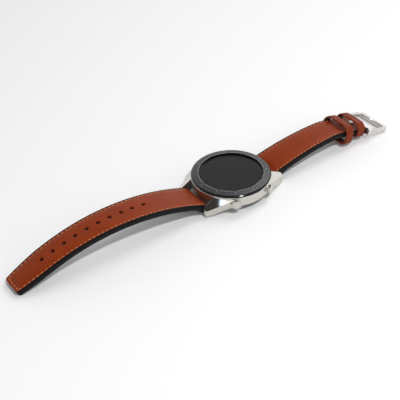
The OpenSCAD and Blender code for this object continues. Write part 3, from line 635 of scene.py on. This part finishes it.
def stitchRun(strap, s, x, heading):
    # short threads whose ends dip into the leather: lift follows sin(pi t), radius about its root
    steps, sides = stitching["steps"], stitching["sides"]
    t = np.linspace(0, 1, steps)
    around = np.linspace(0, 2 * np.pi, sides + 1)[:-1]
    along = (t - 0.5) * stitching["length"]
    cosH, sinH = np.cos(heading)[:, None], np.sin(heading)[:, None]
    sMid = s[:, None] + along * cosH
    xMid = x[:, None] + along * sinH
    hw = halfWidth(strap, sMid)
    surface = leatherTop(strap, sMid, np.clip(xMid, -hw + 1.2, hw - 1.2), hw)
    lift = surface + stitching["arch"] * np.sin(np.pi * t) - stitching["sunk"]
    radius = stitching["thread"] * np.sqrt(np.clip(np.sin(np.pi * (0.04 + 0.92 * t)), 0, 1))
    wide = radius[None, :, None] * np.cos(around)
    high = radius[None, :, None] * np.sin(around) * 0.8
    sAll = sMid[..., None] - wide * sinH[..., None]
    xAll = xMid[..., None] + wide * cosH[..., None]
    points = onStrap(strap, sAll, xAll, lift[..., None] + high)
    count = len(s)
    ring = gridFaces(steps, sides, closeCols=True)
    bases = np.arange(count) * steps * sides
    faces = (ring[None] + bases[:, None, None]).reshape(-1, 4).tolist()
    for base in bases:
        faces.append([base + k for k in range(sides)][::-1])
        faces.append([base + (steps - 1) * sides + k for k in range(sides)])
    return points.reshape(-1, 3), faces


def stitchPiece(name, strap, runs):
    points, faces = [], []
    for s, x, heading in runs:
        newPoints, newFaces = stitchRun(strap, s, x, heading)
        base = sum(len(p) for p in points)
        points.append(newPoints)
        faces.extend([[v + base for v in face] for face in newFaces])
    return meshPiece(name, np.concatenate(points), faces, finishes["thread"], strap["body"])


inset, slant = layers["seam"], stitching["slant"]
sRow = spaced(stitching["start"], tipEnd - inset - 1.2, stitching["pitch"])
xRow = halfWidth(longStrap, sRow) - inset
drift = np.gradient(xRow, sRow)
tipHalf = float(halfWidth(longStrap, np.array([tipEnd - 2.0]))[0]) - inset - 0.6
tipX = spaced(-tipHalf + 0.9, tipHalf - 0.9, stitching["pitch"])
longRuns = [(sRow, xRow, np.arctan(drift) - slant), (sRow, -xRow, -np.arctan(drift) - slant),
            (np.full_like(tipX, tipEnd - inset), tipX, np.full_like(tipX, np.pi / 2 - slant))]
stitchPiece("longStrapStitches", longStrap, longRuns)
sRow = spaced(stitching["start"], slotStart - 3.2, stitching["pitch"])
xRow = halfWidth(shortStrap, sRow) - inset
stitchPiece("shortStrapStitches", shortStrap,
            [(sRow, x, np.full_like(sRow, -slant)) for x in (xRow, -xRow)])
print("stitches sewn")

# keepers
keepers = {"width": 5.8, "thickness": 1.2, "bulge": 0.25, "steps": 144, "sides": 40}
keeperLoose = {"place": 4.5, "half": 9.8, "room": 2.6, "gap": 4.5, "highCorner": 4.6, "lowCorner": 2.6}
keeperSewn = {"place": 14.8, "half": 9.02, "room": 3.0, "gap": 1.0, "highCorner": 3.6, "lowCorner": 1.5}


def evenLoop(x, z, count):
    # the same closed outline with equal steps along it
    closedX, closedZ = np.append(x, x[0]), np.append(z, z[0])
    run = np.concatenate([[0], np.cumsum(np.hypot(np.diff(closedX), np.diff(closedZ)))])
    at = np.linspace(0, run[-1], count + 1)[:-1]
    return np.interp(at, run, closedX), np.interp(at, run, closedZ)


def loopNormals(x, z):
    # outward normal of a closed anticlockwise outline, from the central difference
    dx, dz = np.roll(x, -1) - np.roll(x, 1), np.roll(z, -1) - np.roll(z, 1)
    size = np.hypot(dx, dz)
    return dz / size, -dx / size


def bandOutline(half, low, high, lowCorner, highCorner):
    # anticlockwise rounded rectangle whose top bulges a little
    turn = np.linspace(0, np.pi / 2, 16)
    xs, zs = [], []
    for cx, cz, r, start in ((half - highCorner, high - highCorner, highCorner, 0),
                             (highCorner - half, high - highCorner, highCorner, 1),
                             (lowCorner - half, low + lowCorner, lowCorner, 2),
                             (half - lowCorner, low + lowCorner, lowCorner, 3)):
        xs.append(cx + r * np.cos(turn + start * np.pi / 2))
        zs.append(cz + r * np.sin(turn + start * np.pi / 2))
    x, z = evenLoop(np.concatenate(xs), np.concatenate(zs), keepers["steps"])
    bulge = keepers["bulge"] * np.cos(x / half * np.pi / 2) * (z > (low + high) / 2)
    return x, z + bulge


def keeperPiece(name, node, body, shape):
    # a band carried round its outline; the band's own section is a superellipse
    half, sides = keepers["thickness"] / 2, keepers["sides"]
    px, pz = bandOutline(shape["half"] + half, -thick - shape["gap"] - half, shape["room"] + half,
                         shape["lowCorner"] + half, shape["highCorner"] + half)
    nx, nz = loopNormals(px, pz)
    v = np.linspace(0, 2 * np.pi, sides + 1)[:-1]
    bandAlong = keepers["width"] / 2 * np.sign(np.cos(v)) * np.abs(np.cos(v)) ** 0.3
    bandOut = half * np.sign(np.sin(v)) * np.abs(np.sin(v)) ** 0.6
    place = shortStrap["straightEnd"] - shortStrap["straight"] + shape["place"]
    y, z, heading = lineAt(shortStrap, np.full(1, place))
    x = px[:, None] + nx[:, None] * bandOut
    d = pz[:, None] + nz[:, None] * bandOut
    along = np.repeat(bandAlong[None], len(px), 0)
    c, s = math.cos(heading[0]), math.sin(heading[0])
    points = np.stack([x, y[0] + along * c - d * s, z[0] + along * s + d * c], -1) * mm
    length = np.cumsum(np.hypot(np.diff(px, prepend=px[-1]), np.diff(pz, prepend=pz[-1])))
    # inside faces take the finish's third colour: painted shade inside the loop
    inner = np.repeat((bandOut < -0.4)[None], len(px), 0) * 1.0
    info = np.stack([np.repeat(length[:, None], sides, 1) * mm, (place + along) * mm, inner], -1)
    wrapped = np.concatenate([points, points[:1]]).reshape(-1, 3)
    info = np.concatenate([info, info[:1]]).reshape(-1, 3)
    faces = gridFaces(len(px) + 1, sides, closeCols=True)
    wrapped, faces, info = weld(wrapped, faces, info)
    piece = meshPiece(name, wrapped, faces, finishes["keeperLeather"], body, {"flat": info})
    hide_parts(node)


keeperPiece("keeperLoose", "keeper_free", "keeper_free", keeperLoose)
keeperPiece("keeperSewn", "keeper_fixed", "strap_short", keeperSewn)
print("keepers built")

# buckle
buckleShape = {"width": 24.5, "reach": 15.8, "thickness": 2.5, "eye": 4.4, "arm": 2.3, "endBar": 2.8,
               "corner": 3.0, "notchWidth": 1.5, "notchDepth": 0.45, "eyeSteps": 9, "sides": 28}


def bucklePiece():
    # a rounded section carried from one eye, along the arm, round two corners and back to the other eye
    b = buckleShape
    rest = math.asin((bucklePlace[2] - layers["floorGap"]) / b["reach"])
    tilt = rest - math.asin(b["thickness"] / 2 / b["reach"])
    eyeSteps, sides = b["eyeSteps"], b["sides"]
    half = b["width"] / 2 - b["arm"] / 2
    far = b["reach"] - b["endBar"] / 2
    bend = b["corner"] - b["arm"] / 2
    arc = np.linspace(0, np.pi / 2, 13)
    eye = b["eye"] / 2
    lead = -np.cos(np.linspace(0, np.pi / 2, eyeSteps)) * eye
    straight = np.linspace(0, far - bend, 26)[1:-1]
    middle = np.linspace(half - bend, 0, 22)[1:]
    px = np.concatenate([np.full(eyeSteps + len(straight), half), half - bend + bend * np.cos(arc), middle])
    py = np.concatenate([lead, straight, far - bend + bend * np.sin(arc), np.full(len(middle), far)])
    shrink = np.ones_like(px)
    shrink[:eyeSteps] = np.sqrt(np.clip(1 - (lead / eye) ** 2, 0.0004, 1))
    px = np.concatenate([px, -px[::-1][1:]])
    py = np.concatenate([py, py[::-1][1:]])
    shrink = np.concatenate([shrink, shrink[::-1][1:]])
    dx, dy = np.gradient(px), np.gradient(py)
    size = np.hypot(dx, dy)
    nx, ny = dy / size, -dx / size
    nx[:eyeSteps], ny[:eyeSteps] = 1, 0
    nx[-eyeSteps:], ny[-eyeSteps:] = -1, 0
    endShare = step(far - b["corner"], far, py)
    wide = b["arm"] + (b["endBar"] - b["arm"]) * endShare
    v = np.linspace(0, 2 * np.pi, sides + 1)[:-1]
    across = np.sign(np.cos(v)) * np.abs(np.cos(v)) ** 0.45
    high = np.sign(np.sin(v)) * np.abs(np.sin(v)) ** 0.5
    notch = b["notchDepth"] * np.exp(-(px / b["notchWidth"]) ** 4) * (py > far - 1)
    x = px[:, None] + nx[:, None] * across * wide[:, None] / 2
    y = py[:, None] + ny[:, None] * across * wide[:, None] / 2
    tall = np.interp(py, [0, far - b["corner"]], [b["eye"], b["thickness"]])
    z = high * (tall * shrink)[:, None] / 2 - np.clip(high, 0, 1) * notch[:, None]
    c, s = math.cos(-tilt), math.sin(-tilt)
    points = np.stack([x, bucklePlace[1] + y * c - z * s, bucklePlace[2] + y * s + z * c], -1) * mm
    rows = len(px)
    faces = gridFaces(rows, sides, closeCols=True).tolist()
    faces.append(list(range(sides))[::-1])
    faces.append([(rows - 1) * sides + k for k in range(sides)])
    piece = meshPiece("buckleFrame", points.reshape(-1, 3), faces, finishes["buckleSteel"], "buckle")
    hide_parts("buckle_frame")


bucklePiece()
print("buckle built")

# bezel
bezel = {"outer": 22.95, "seat": 10.6, "foot": 11.85, "top": 12.35, "inner": 18.6, "slopeOut": 22.3,
         "slopeIn": 19.15, "glass": 19.45, "lip": 11.5}


def revolve(name, profile, finishName, body, turns=192):
    # a closed outline of (radius, height) carried round Z
    outline = np.array(profile)
    turn = np.linspace(0, 2 * np.pi, turns + 1)[:-1]
    r, z = outline[:, 0], outline[:, 1]
    points = np.stack([np.cos(turn)[:, None] * r, np.sin(turn)[:, None] * r, np.repeat(z[None], turns, 0)],
                      -1) * mm
    count = len(outline)
    i, j = np.meshgrid(np.arange(turns), np.arange(count), indexing="ij")
    a = i * count + j
    b = i * count + (j + 1) % count
    c = ((i + 1) % turns) * count + (j + 1) % count
    d = ((i + 1) % turns) * count + j
    faces = np.stack([a, b, c, d], -1).reshape(-1, 4)
    return meshPiece(name, points.reshape(-1, 3), faces, finishes[finishName], body)


def corner(before, at, after, radius, steps=4):
    # rounds one corner of an outline: points on the quadratic curve through the two tangent points
    at, before, after = (np.array(p, float) for p in (at, before, after))
    start = at + (before - at) / np.linalg.norm(before - at) * radius
    end = at + (after - at) / np.linalg.norm(after - at) * radius
    t = np.linspace(0, 1, steps + 1)[:, None]
    return ((1 - t) ** 2 * start + 2 * t * (1 - t) * at + t ** 2 * end).tolist()


def roundedOutline(outline, radii):
    result = []
    for i, radius in enumerate(radii):
        p = outline[i]
        result += corner(outline[i - 1], p, outline[(i + 1) % len(outline)], radius) if radius else [p]
    return result


bezelOutline = roundedOutline(
    [(bezel["glass"], bezel["seat"]), (bezel["outer"] - 0.35, bezel["seat"]),
     (bezel["outer"], bezel["seat"] + 0.35), (bezel["outer"], bezel["seat"] + 0.75),
     (bezel["slopeOut"], bezel["foot"]), (bezel["slopeIn"], bezel["top"]),
     (bezel["inner"] + 0.15, bezel["top"]), (bezel["inner"], bezel["top"] - 0.15),
     (bezel["inner"], bezel["lip"]), (bezel["glass"], bezel["lip"])],
    [0, 0.1, 0.1, 0.12, 0.1, 0.05, 0.05, 0.05, 0, 0])
bezelBody = revolve("bezelRing", bezelOutline, "coating", "case")
sharpen(bezelBody, 30)
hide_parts("bezel")
bezelBody.data.materials.append(finishes["rimBlack"])
centres = np.array([np.mean([bezelBody.data.vertices[v].co[:] for v in p.vertices], axis=0)
                    for p in bezelBody.data.polygons]) / mm
radius = np.hypot(centres[:, 0], centres[:, 1])
rim = (radius > bezel["slopeOut"]) | (radius < bezel["inner"] + 0.02)
bezelBody.data.polygons.foreach_set("material_index", rim.astype(int))

marks = {"ticks": 60, "tickOut": 22.05, "tickIn": 21.35, "tickHalf": 0.09, "hourHalf": 0.17,
         "lineIn": 18.78, "lineOut": 19.1, "lineGap": 4.5, "lift": 0.015, "sunk": 0.03,
         "number": 1.35, "relief": 0.02, "numberRadius": 20.15}


def slopeHeight(r):
    # height of the bezel's sloping face at radius r
    return np.interp(r, [bezel["slopeIn"], bezel["slopeOut"]], [bezel["top"], bezel["foot"]])


def markPlates():
    # thin plates that follow the slope: (low radius, high radius, half angle) about each direction
    points, faces = [], []

    def plate(rIn, rOut, angle, halfAngle, arc=1):
        a = angle + np.linspace(-1, 1, arc + 1) * halfAngle
        for lift in (-marks["sunk"], marks["lift"]):
            for r in (rIn, rOut):
                offset = a if arc > 1 else angle + (a - angle) * rOut / r
                z = slopeHeight(r) + lift
                row = [r * np.cos(offset), r * np.sin(offset), np.full(arc + 1, z)]
                points.extend(np.stack(row, -1).tolist())
        n, base = arc + 1, len(points) - 4 * (arc + 1)
        for i in range(arc):
            for p, q in ((2 * n, 3 * n), (0, 2 * n), (n, 0), (3 * n, n)):
                faces.append([base + p + i, base + q + i, base + q + i + 1, base + p + i + 1])
        faces.append([base, base + n, base + 3 * n, base + 2 * n])
        faces.append([base + n - 1, base + 3 * n - 1, base + 4 * n - 1, base + 2 * n - 1])

    for i in range(marks["ticks"]):
        angle = 2 * math.pi * i / marks["ticks"]
        if i % 5:
            plate(marks["tickIn"], marks["tickOut"], angle, marks["tickHalf"] / marks["tickOut"])
        else:
            plate(marks["tickIn"] + 0.1, marks["tickOut"], angle, marks["hourHalf"] / marks["tickOut"])
    gap = math.radians(marks["lineGap"])
    for i in range(12):
        plate(marks["lineIn"], marks["lineOut"], 2 * math.pi * (i + 0.5) / 12, math.pi / 12 - gap / 2, arc=14)
    piece = meshPiece("bezelMarks", np.array(points) * mm, faces, finishes["enamel"], "case")
    sharpen(piece, 30)


markPlates()


def numberPieces():
    # plain minute numbers laid on the slope, their tops outward
    made = []
    for i in range(12):
        value = (3 - i) % 12 * 5 or 60
        angle = math.pi * i / 6
        curve = bpy.data.curves.new("number", "FONT")
        curve.body = f"{value:02d}"
        curve.size = marks["number"] * mm
        curve.extrude = marks["relief"] * mm
        curve.align_x = "CENTER"
        curve.align_y = "CENTER"
        piece = bpy.data.objects.new("number", curve)
        bpy.context.scene.collection.objects.link(piece)
        tilt = math.atan2(bezel["top"] - bezel["foot"], bezel["slopeOut"] - bezel["slopeIn"])
        r = marks["numberRadius"]
        place = Matrix.Rotation(angle - math.pi / 2, 4, "Z") @ Matrix.Translation(
            Vector((0, r * mm, float(slopeHeight(r)) * mm))) @ Matrix.Rotation(-tilt, 4, "X")
        piece.matrix_world = place
        made.append(piece)
    bpy.ops.object.select_all(action="DESELECT")
    for piece in made:
        piece.select_set(True)
    bpy.context.view_layer.objects.active = made[0]
    bpy.ops.object.convert(target="MESH")
    bpy.ops.object.join()
    piece = bpy.context.view_layer.objects.active
    bpy.ops.object.transform_apply(location=True, rotation=True, scale=True)
    piece.name = "bezelNumbers"
    piece.data.materials.clear()
    piece.data.materials.append(finishes["enamel"])
    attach(piece, "case")


numberPieces()
print("bezel built")

# floor, light and camera
studio = {"floor": (0.88, 0.88, 0.882), "world": 1.14, "key": 4.2, "keyPlace": (0.5, 0.0, 0.78),
          "keySize": 0.06, "soft": 5.2, "softPlace": (-0.2, 0.75, 0.9), "softSize": 0.6,
          "cardReach": 0.5, "cardSpots": (((17.4, -15.4, 9.3), 0.008, 0.0011, (1.0, 1.0, 1.0)),
                                          ((16.0, -17.6, 8.7), 0.004, 0.00018, (0.35, 0.62, 1.0)))}


def makeFloor():
    half = 1.6
    corners = [(-half, -half, 0), (half, -half, 0), (half, half, 0), (-half, half, 0)]
    mesh = bpy.data.meshes.new("floor")
    mesh.from_pydata(corners, [], [(0, 1, 2, 3)])
    floor = bpy.data.objects.new("floor", mesh)
    bpy.context.scene.collection.objects.link(floor)
    shade = tuple(c * 0.99 for c in studio["floor"])
    floor.data.materials.append(finish("floorPaper", studio["floor"], shade, rough=0.7, grain=120, bump=0.02))


def areaLight(name, place, size, power, aim=(0, 0, 0), color=(1, 1, 1)):
    data = bpy.data.lights.new(name, "AREA")
    data.color = color
    data.size = size
    data.energy = power
    lamp = bpy.data.objects.new(name, data)
    lamp.location = place
    lamp.rotation_euler = (Vector(aim) - Vector(place)).to_track_quat("-Z", "Y").to_euler()
    bpy.context.scene.collection.objects.link(lamp)


def makeWorld():
    # white studio: bright at middle heights, dimmer at the horizon, dark overhead for the metal's contrast
    world = bpy.data.worlds.new("studio")
    bpy.context.scene.world = world
    world.use_nodes = True
    nodes, links = world.node_tree.nodes, world.node_tree.links
    place = nodes.new("ShaderNodeTexCoord")
    split = nodes.new("ShaderNodeSeparateXYZ")
    ramp = nodes.new("ShaderNodeValToRGB")
    stops = ramp.color_ramp.elements
    for stop, (position, value) in zip((stops[0], stops[1]), ((0.0, 0.45), (1.0, 0.04))):
        stop.position = position
        stop.color = (value, value, value, 1)
    for position, value in ((0.1, 0.75), (0.25, 1.0), (0.5, 1.0), (0.57, 0.46), (0.66, 0.42), (0.76, 0.06)):
        stops.new(position).color = (value, value, value * 1.01, 1)
    links.new(place.outputs["Generated"], split.inputs["Vector"])
    links.new(split.outputs["Z"], ramp.inputs["Fac"])
    links.new(ramp.outputs["Color"], nodes["Background"].inputs["Color"])
    nodes["Background"].inputs["Strength"].default_value = studio["world"]


def lugNormal():
    # the mean normal of the case's faces on the sloping top of the lug
    total = Vector((0, 0, 0))
    case = frame["nodes"]["case_frame"]
    turn = case.matrix_world.to_3x3()
    for polygon in case.data.polygons:
        x, y, z = case.matrix_world @ polygon.center / mm
        n = (turn @ polygon.normal).normalized()
        if x > 8 and y < -16 and z > 2 and 0.7 < n.z < 0.85 and n.x > 0.4:
            total += n * polygon.area
    return total.normalized()


def makeCards():
    # small cards mirrored by the polished facet of the lug: placed where the sight line r = 2(n.v)n - v leads
    normal = lugNormal()
    eye = bpy.context.scene.camera.matrix_world.translation
    for spot, size, power, color in studio["cardSpots"]:
        spot = Vector(spot) * mm
        sight = (eye - spot).normalized()
        mirrored = 2 * normal.dot(sight) * normal - sight
        areaLight("card", spot + mirrored * studio["cardReach"], size * 2, power, spot, color)


def makeCamera():
    # sight line from the lower right and above, slightly rolled; distances in metres
    view = {"azimuth": 55.275, "elevation": 37.53, "roll": -1.865, "distance": 0.5201, "lens": 81.0,
            "aim": (-0.00652, -0.01760, -0.00398)}
    az, el, roll = (math.radians(view[k]) for k in ("azimuth", "elevation", "roll"))
    back = Vector((math.sin(az) * math.cos(el), -math.cos(az) * math.cos(el), math.sin(el)))
    right = (-back).cross(Vector((0, 0, 1))).normalized()
    up = right.cross(-back)
    turnedRight = right * math.cos(roll) + up * math.sin(roll)
    turnedUp = -right * math.sin(roll) + up * math.cos(roll)
    data = bpy.data.cameras.new("camera")
    data.lens = view["lens"]
    data.sensor_width = 36.0
    data.clip_start = 0.01
    camera = bpy.data.objects.new("camera", data)
    place = Vector(view["aim"]) + back * view["distance"]
    camera.matrix_world = Matrix((
        (turnedRight.x, turnedUp.x, back.x, place.x), (turnedRight.y, turnedUp.y, back.y, place.y),
        (turnedRight.z, turnedUp.z, back.z, place.z), (0, 0, 0, 1)))
    bpy.context.scene.collection.objects.link(camera)
    bpy.context.scene.camera = camera


makeFloor()
makeWorld()
areaLight("keyLight", studio["keyPlace"], studio["keySize"], studio["key"])
areaLight("softLight", studio["softPlace"], studio["softSize"], studio["soft"])
makeCamera()
makeCards()
bpy.context.scene.view_settings.view_transform = "Standard"
print("studio ready")
